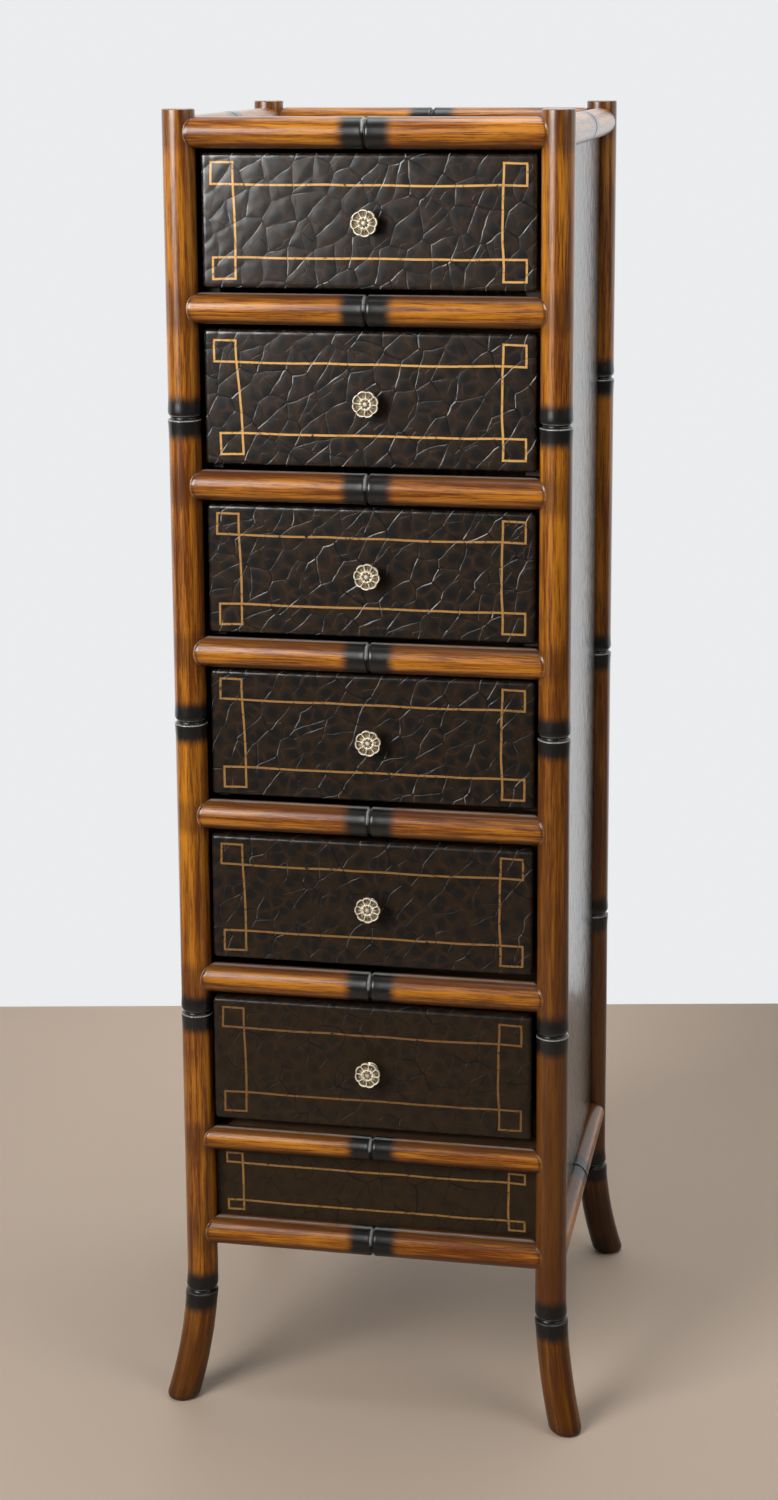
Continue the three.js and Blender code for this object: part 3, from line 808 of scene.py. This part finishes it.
def apply_tree(piece, group, inputs):
    """Runs a geometry tree on a piece and keeps the result as its plain mesh."""
    modifier = piece.modifiers.new(group.name, "NODES")
    modifier.node_group = group
    for item in group.interface.items_tree:
        if item.in_out == "INPUT" and item.name in inputs:
            modifier[item.identifier] = inputs[item.name]
    depsgraph = bpy.context.evaluated_depsgraph_get()
    made = bpy.data.meshes.new_from_object(
        piece.evaluated_get(depsgraph), preserve_all_data_layers=True, depsgraph=depsgraph)
    piece.modifiers.remove(modifier)
    plain = piece.data
    piece.data = made
    bpy.data.meshes.remove(plain)
    made.name = piece.name
    made.set_sharp_from_angle(angle=math.radians(50))
    return piece


# Brass rosettes


def petal_height(share_out, turn):
    """Height of a petal's surface in shares of the disc, at a share of the way out to its rim and
    at a turn from -1 to 1 between its two sides."""
    def ridge(distance, width):
        return np.clip(1.35 - np.abs(distance) / width, 0, 1)

    boss = 0.58 + 0.42 * np.sqrt(np.clip(1 - (share_out / 0.25) ** 2, 0, 1))
    wall = ridge((1 - np.abs(turn)) * share_out, 0.11)
    ring = ridge(share_out - 0.40, 0.05) * 0.9
    rib = ridge(turn * share_out, 0.06) * ridge(share_out - 0.5, 0.24)
    leaf = ridge((np.abs(turn) - 0.5) * share_out, 0.055) * ridge(share_out - 0.48, 0.2)
    rim = ridge(share_out - 0.935, 0.062)
    raised = np.maximum.reduce([wall * 0.85, ring, rib * 0.75, leaf * 0.65, rim])
    petal = 0.30 + 0.62 * raised - 0.35 * np.clip((share_out - 0.95) / 0.05, 0, 1) ** 2
    return np.where(share_out < 0.26, boss, petal)


def petal_sector(brass, material):
    """One petal of the rosette with its back, as a wedge of the disc about Z."""
    outs = np.concatenate([
        np.linspace(0.0, 0.255, 8)[1:], np.linspace(0.275, 0.84, 19), np.linspace(0.855, 1.0, 10)])
    turns = np.linspace(-1, 1, 25)
    turn = turns * math.pi / brass.petals
    lobes = 0.87 + 0.13 * np.sqrt(np.clip(np.cos(turns * math.pi / 2), 0, 1))

    def lobed(out):
        """Radii at shares of the way out to the rim, which is drawn in between the petals."""
        return brass.radius * out * (1 + (lobes - 1) * np.clip(out * 1.4 - 0.4, 0, 1))

    out, side = np.meshgrid(outs, turns, indexing="ij")
    raised = petal_height(out, side)
    back_outs, back_heights = np.array([(0.97, 0.26), (0.9, 0.14), (0.6, 0.02), (0.3, 0)]).T
    back_out = np.repeat(back_outs[:, None], turns.size, axis=1)
    back = np.repeat(back_heights[:, None], turns.size, axis=1)
    radii = lobed(np.vstack([out, back_out]))
    heights = brass.disc * np.vstack([raised, back])
    rings = np.stack([radii * np.cos(turn), radii * np.sin(turn), heights], axis=-1)
    rows, columns, _ = rings.shape
    points = np.vstack([rings.reshape(-1, 3), [[0, 0, brass.disc], [0, 0, 0]]])
    faces = lattice(rows, columns, False)
    for column in range(columns - 1):
        faces.append((column, column + 1, rows * columns))
        last = (rows - 1) * columns + column
        faces.append((last + 1, last, rows * columns + 1))
    wear_and_glint = raised * np.where(out < 0.26, 0.52, 1)
    wear_and_glint = np.concatenate([wear_and_glint.ravel(), np.zeros(back.size), [0.52, 0]])
    relief = np.stack([wear_and_glint, wear_and_glint * 0, wear_and_glint * 0], axis=-1)
    return new_piece("petal", points, faces, material, relief=relief)


def rosette_tree():
    """Repeats one petal about Z into a whole rosette."""
    group, tree, (petal, count, material) = geometry_tree(
        "rosette", Petals="Int", Material="Material")
    spokes = tree.add("GeometryNodeMeshLine", {"mode": "OFFSET"}, {
        "Count": count, "Offset": (0, 0, 0)})
    turn = tree.add("GeometryNodeInputIndex") * (2 * math.pi) / count
    rotation = tree.vector(0, 0, turn)
    ring = tree.add("GeometryNodeInstanceOnPoints", inputs={
        "Points": spokes, "Instance": petal, "Rotation": rotation})
    whole = tree.add("GeometryNodeRealizeInstances", inputs={"Geometry": ring})
    merged = tree.add("GeometryNodeMergeByDistance", inputs={"Geometry": whole, "Distance": 0.00002})
    close_tree(tree, merged, material)
    return group


def rosette_knob(material):
    """The mesh of a whole knob about Z: rosette, neck and collar."""
    brass = settings().brass
    petal = petal_sector(brass, material)
    rosette = apply_tree(petal, rosette_tree(), {"Petals": brass.petals, "Material": material})
    back = brass.proud - brass.disc
    rosette.data.transform(Matrix.Translation((0, 0, back)))
    radius, z = np.array([
        (0.0001, -0.0005), (0.0075, -0.0005), (0.0076, 0.0007), (0.0074, 0.0012), (0.0066, 0.0015),
        (0.0062, 0.0017), (0.0056, 0.0023), (0.0046, 0.0027), (0.0040, 0.0038), (0.0036, 0.0070),
        (0.0037, 0.0105), (0.0046, 0.0128), (0.0060, 0.0138), (0.0068, back + 0.0004)]).T
    sides = 32
    rings = rings_about_z(radius, z, sides)
    points, faces = capped(rings, rings[[0, -1]].mean(axis=1))
    bright = np.clip(np.append(np.repeat(radius / 0.008, sides), [0, 0]), 0, 1)
    neck = new_piece("neck", points, faces, material, relief=np.stack([bright] * 3, axis=-1))
    whole = merged_mesh("knob", material, rosette.data, neck.data)
    for piece in (rosette, neck):
        bpy.data.objects.remove(piece)
    return whole


# Operators


class CHEST_OT_posts(Operator):
    """Turn the four bamboo posts with their scorched nodes and splayed feet"""
    bl_idname = "chest.posts"
    bl_label = "Posts"

    def execute(self, context):
        heights = [sum(z.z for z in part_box(f"front_rail_{i}")) / 2 for i in range(1, 9)]
        corners = [(x, y) for y in (-1, 1) for x in (-1, 1)]
        for index, (x, y) in enumerate(corners):
            name = f"post_{'front' if y < 0 else 'rear'}_{'left' if x < 0 else 'right'}"
            rails = heights if y < 0 else [heights[0], heights[-1]]
            turned_post(name, index, np.array([x, y, 0]), rails)
        return {"FINISHED"}


class CHEST_OT_rails(Operator):
    """Turn the fourteen rails with their grooves and coped ends"""
    bl_idname = "chest.rails"
    bl_label = "Rails"

    def execute(self, context):
        names = [(f"front_rail_{i}", 0) for i in range(1, 9)]
        names += [("back_rail_upper", 0), ("back_rail_lower", 0)]
        names += [(f"side_rail_{level}_{side}", 1)
                  for level in ("upper", "lower") for side in ("left", "right")]
        for index, (name, along) in enumerate(names):
            turned_rail(name, index, along)
        return {"FINISHED"}


# Inner and outer distances of the gilt lines from the middle of a panel, across and up.
FRONT_LINES = (0.1336, 0.1562, 0.03565, 0.05715)
APRON_LINES = (0.142, 0.1585, 0.0212, 0.0315)

# For each drawer: strength of the creases, which also scales their painted highlights, brightness of
# the gilt, slant of the left gilt line and height of the leather over the top of the board. The gilt
# grows darker down the drawers, partly worn gilt and partly painted shade.
FRONTS = (
    (1.0, 1.0, 0.001, 0), (0.95, 0.94, 0.006, 0.0035), (0.88, 0.48, 0.0015, 0),
    (0.7, 0.34, 0.003, 0), (0.5, 0.2, 0.002, 0), (0.3, 0.1, 0.001, 0.001))


class CHEST_OT_fronts(Operator):
    """Clad the drawer fronts and the apron in embossed, gilt-tooled leather"""
    bl_idname = "chest.fronts"
    bl_label = "Drawer fronts and apron"

    def execute(self, context):
        tooled = hide_finish("tooled hide", 0.88, FRONT_LINES)
        for i, (strength, bright, lean, rise) in enumerate(FRONTS):
            node = f"drawer_{i + 1}_front"
            low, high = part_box(node)
            high.z += rise
            piece = clad_board(
                node + "_clad", low, high, (1, -1), tooled, pitch=0.0015, edge=0.004,
                skin=(0.43 * i + 0.1, 0.29 * i), strength=strength, bright=bright, lean=lean)
            hand_in(piece, f"drawer_{i + 1}", "hide", node)
        piece = clad_board(
            "apron_panel_clad", *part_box("apron_panel"), (1, -1),
            hide_finish("tooled apron hide", 0.88, APRON_LINES), pitch=0.0015, edge=0.001,
            skin=(3.1, 2.2), strength=0.15, bright=0.3, drop=0.0012)
        hand_in(piece, "frame", "hide", "apron_panel")
        return {"FINISHED"}


class CHEST_OT_panels(Operator):
    """Clad the sides and the top in embossed leather, over boards of plain wood"""
    bl_idname = "chest.panels"
    bl_label = "Side and top panels"

    def execute(self, context):
        hide = hide_finish("plain hide", 0.46)
        board = settings().board
        # The boards under the side leather get the very dark carcass wood, a painted shade for the
        # gaps.
        board_wood = planed_wood("carcass wood", 2, board.carcass_shade_pale, board.carcass_shade_dark)
        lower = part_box("side_rail_lower_right")[1].z - 0.003
        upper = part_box("side_rail_upper_right")[0].z + 0.003
        for index, (side, sign) in enumerate((("left", -1), ("right", 1))):
            node = f"side_panel_{side}"
            low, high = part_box(node)
            outer = high.x if sign > 0 else -low.x
            xs = sorted((sign * (outer - 0.0006), sign * (outer + 0.0008)))
            piece = clad_board(
                node + "_hide", (xs[0], -0.173, lower), (xs[1], 0.173, upper), (0, sign), hide,
                pitch=0.0026, edge=0.0005, skin=(5.2 + index, 1.7), strength=1.25)
            hand_in(piece, "frame", "hide")
            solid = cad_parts[node].data
            mesh = merged_mesh(node + "_board", board_wood, solid, within=0.00001)
            hand_in(linked(mesh.name, mesh), "frame", "plain_wood", node)
        low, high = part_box("top_panel")
        piece = clad_board(
            "top_panel_clad", (-0.174, -0.174, low.z), (0.174, 0.174, high.z), (2, 1), hide,
            pitch=0.0026, edge=0.001, skin=(8.3, 4.4), strength=0.7)
        hand_in(piece, "frame", "hide", "top_panel")
        return {"FINISHED"}


class CHEST_OT_knobs(Operator):
    """Cast the brass rosette knobs"""
    bl_idname = "chest.knobs"
    bl_label = "Knobs"

    def execute(self, context):
        knob = rosette_knob(cast_brass())
        for i, turn in enumerate((0.10, 0.32, -0.14, 0.2, 0.05, 0.27), start=1):
            low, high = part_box(f"drawer_{i}_front")
            mesh = knob.copy()
            mesh.transform(Matrix.Rotation(turn, 4, "Z"))
            mesh.transform(Matrix.Rotation(math.pi / 2, 4, "X"))
            mesh.transform(Matrix.Translation((0, low.y, (low.z + high.z) / 2)))
            node = f"drawer_{i}_knob"
            hand_in(linked(node + "_rosette", mesh), f"drawer_{i}", "brass", node)
        bpy.data.meshes.remove(knob)
        return {"FINISHED"}


class CHEST_OT_boards(Operator):
    """Finish the drawer boxes, the back and the base board as plain stained wood"""
    bl_idname = "chest.boards"
    bl_label = "Plain boards"

    def execute(self, context):
        board = settings().board
        along_x, along_y, along_z = [
            planed_wood(f"stained board {axis}", i, board.pale, board.dark)
            for i, axis in enumerate("xyz")]
        box = {"side_left": along_y, "side_right": along_y, "back": along_x, "bottom": along_x}
        finishes = {f"drawer_{i}_{part}": box[part] for i in range(1, 7) for part in box}
        finishes.update(back_panel=along_z, base_board=along_x)
        for name, material in finishes.items():
            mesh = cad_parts[name].data
            mesh.materials.clear()
            mesh.materials.append(material)
        return {"FINISHED"}


# Stage


# The camera's turns in radians, its place, its lens in millimetres and the shift of its picture.
YAW = 0.1827526
PITCH = 0.1936159
ROLL = -0.0040139
CAMERA_PLACE = Vector((0.49133, -2.59613, 1.41626))
LENS = 60.446
SHIFT = (-0.01711, -0.13835)

# Level directions as the camera sees them, and the sizes of the backdrop.
AHEAD = Vector((-math.sin(YAW), math.cos(YAW), 0))
RIGHT = Vector((math.cos(YAW), math.sin(YAW), 0))
UP = Vector((0, 0, 1))
WALL_DISTANCE = 3.5956
WALL_HEIGHT = 4
HALF_WIDTH = 14
FLOOR_COLOUR = (0.455, 0.36, 0.28, 1)

# Each light's name, place, width, height and power.
LIGHTS = (
    ("key", (-1.3, -1.95, 1.85), 1.3, 1.45, 28), ("window", (-1.6, -2.9, 1.65), 1.5, 1.3, 5),
    ("top", (0.3, 0.1, 3.0), 1.4, 1.4, 11), ("fill", (2.2, -1.2, 2.1), 1.2, 1.2, 6))


def background_ray(tree):
    """1 for rays that show the background: from the camera, off gloss and through glass."""
    seen, gloss, through = (tree.ray(kind) for kind in ("Camera", "Glossy", "Transmission"))
    return tree.largest(seen, tree.largest(gloss, through))


class CHEST_OT_stage(Operator):
    """Set the camera, the soft lights, the pale floor and the wall behind"""
    bl_idname = "chest.stage"
    bl_label = "Stage"

    def execute(self, context):
        self.camera(context.scene)
        self.floor()
        self.wall()
        self.lights()
        self.sky(context.scene)
        context.scene.view_settings.view_transform = "Standard"
        return {"FINISHED"}

    def camera(self, scene):
        look = AHEAD * math.cos(PITCH) - UP * math.sin(PITCH)
        above = UP * math.cos(PITCH) + AHEAD * math.sin(PITCH)
        side = RIGHT * math.cos(ROLL) + above * math.sin(ROLL)
        above = above * math.cos(ROLL) - RIGHT * math.sin(ROLL)
        data = bpy.data.cameras.new("camera")
        data.lens = LENS
        data.sensor_width = 36
        data.shift_x, data.shift_y = SHIFT
        camera = linked("camera", data)
        turn = Matrix((side, above, -look)).transposed().to_4x4()
        camera.matrix_world = Matrix.Translation(CAMERA_PLACE) @ turn
        scene.camera = camera

    def floor(self):
        finish, tree, shader = surface("pale floor", Roughness=0.6, Base_Color=FLOOR_COLOUR)
        away = tree.add("ShaderNodeVectorMath", {"operation": "LENGTH"}, {0: tree.place()}, "Value")
        far = tree.step(away, 1.1, 2.5) * tree.ray("Camera")
        even = tree.add("ShaderNodeEmission", inputs={"Color": FLOOR_COLOUR, "Strength": 1.02})
        mixed = tree.add("ShaderNodeMixShader", inputs={
            0: far, 1: Value(tree, shader.outputs[0]), 2: even})
        tree.links.new(mixed.socket, tree.nodes["Material Output"].inputs[0])
        corners = [(x * HALF_WIDTH, y * HALF_WIDTH, 0) for x, y in ((-1, -1), (1, -1), (1, 1), (-1, 1))]
        return new_piece("floor", corners, [(0, 1, 2, 3)], finish)

    def wall(self):
        finish = bpy.data.materials.new("pale wall")
        finish.use_nodes = True
        tree = Tree(finish.node_tree)
        tree.nodes.clear()
        glow = tree.add("ShaderNodeEmission", inputs={
            "Color": (0.83, 0.84, 0.85, 1), "Strength": 1.3 - tree.ray("Camera") * 0.3})
        matt = tree.add("ShaderNodeBsdfDiffuse", inputs={"Color": (0.8, 0.8, 0.8, 1)})
        shown = tree.add("ShaderNodeMixShader", inputs={0: background_ray(tree), 1: matt, 2: glow})
        behind = tree.add("ShaderNodeNewGeometry", output="Backfacing")
        clear = tree.add("ShaderNodeBsdfTransparent")
        whole = tree.add("ShaderNodeMixShader", inputs={0: behind, 1: shown, 2: clear})
        output = tree.nodes.new("ShaderNodeOutputMaterial")
        tree.links.new(whole.socket, output.inputs[0])
        seam = Vector((CAMERA_PLACE.x, CAMERA_PLACE.y, 0)) + AHEAD * WALL_DISTANCE
        left, right = seam - RIGHT * HALF_WIDTH, seam + RIGHT * HALF_WIDTH
        corners = [right, left, left + UP * WALL_HEIGHT, right + UP * WALL_HEIGHT]
        return new_piece("wall", [tuple(c) for c in corners], [(3, 2, 1, 0)], finish)

    def lights(self):
        target = Vector((0, 0, 1.1))
        for name, place, width, height, power in LIGHTS:
            data = bpy.data.lights.new(name, "AREA")
            data.shape = "RECTANGLE"
            data.size = width
            data.size_y = height
            data.energy = power
            data.spread = math.radians(100)
            turn = (Vector(place) - target).to_track_quat("Z", "Y").to_matrix().to_4x4()
            linked(name, data).matrix_world = Matrix.Translation(place) @ turn

    def sky(self, scene):
        scene.world = bpy.data.worlds.new("studio")
        scene.world.use_nodes = True
        tree = Tree(scene.world.node_tree)
        tree.nodes.clear()
        direction = tree.add("ShaderNodeTexCoord", output="Generated")
        shown = tree.step(tree.parts(direction)[1], -0.25, 0.4) * 0.97 + 0.06
        bright = background_ray(tree)
        seen = tree.ray("Camera")
        strength = bright * shown + (1 - bright) * 0.1
        strength = strength * (1 - seen) + seen * 0.86
        sky = tree.add("ShaderNodeBackground", inputs={
            "Color": (0.96, 0.98, 1, 1), "Strength": strength})
        output = tree.nodes.new("ShaderNodeOutputWorld")
        tree.links.new(sky.socket, output.inputs[0])


class CHEST_PT_build(Panel):
    """Lists the steps that dress the chest, with their sizes and colours"""
    bl_idname = "CHEST_PT_build"
    bl_label = "Chest"
    bl_space_type = "VIEW_3D"
    bl_region_type = "UI"
    bl_category = "Chest"

    def draw(self, context):
        for group, operators in (
                ("post", ("chest.posts",)), ("rail", ("chest.rails",)), ("wood", ()),
                ("hide", ("chest.fronts", "chest.panels")), ("brass", ("chest.knobs",)),
                ("board", ("chest.boards",))):
            values = getattr(context.scene.chest, group)
            box = self.layout.box()
            for name in values.__annotations__:
                box.prop(values, name)
            for operator in operators:
                box.operator(operator)
        self.layout.operator("chest.stage")


classes = (
    PostSettings, RailSettings, WoodSettings, HideSettings, BrassSettings, BoardSettings,
    ChestSettings,
    CHEST_OT_posts, CHEST_OT_rails, CHEST_OT_fronts, CHEST_OT_panels, CHEST_OT_knobs,
    CHEST_OT_boards, CHEST_OT_stage, CHEST_PT_build)


def register():
    for item in classes:
        bpy.utils.register_class(item)
    bpy.types.Scene.chest = PointerProperty(type=ChestSettings)


def unregister():
    del bpy.types.Scene.chest
    for item in reversed(classes):
        bpy.utils.unregister_class(item)


def main():
    register()
    bpy.ops.chest.posts()
    bpy.ops.chest.rails()
    bpy.ops.chest.fronts()
    bpy.ops.chest.panels()
    bpy.ops.chest.knobs()
    bpy.ops.chest.boards()
    bpy.ops.chest.stage()


if __name__ == "__main__":
    main()
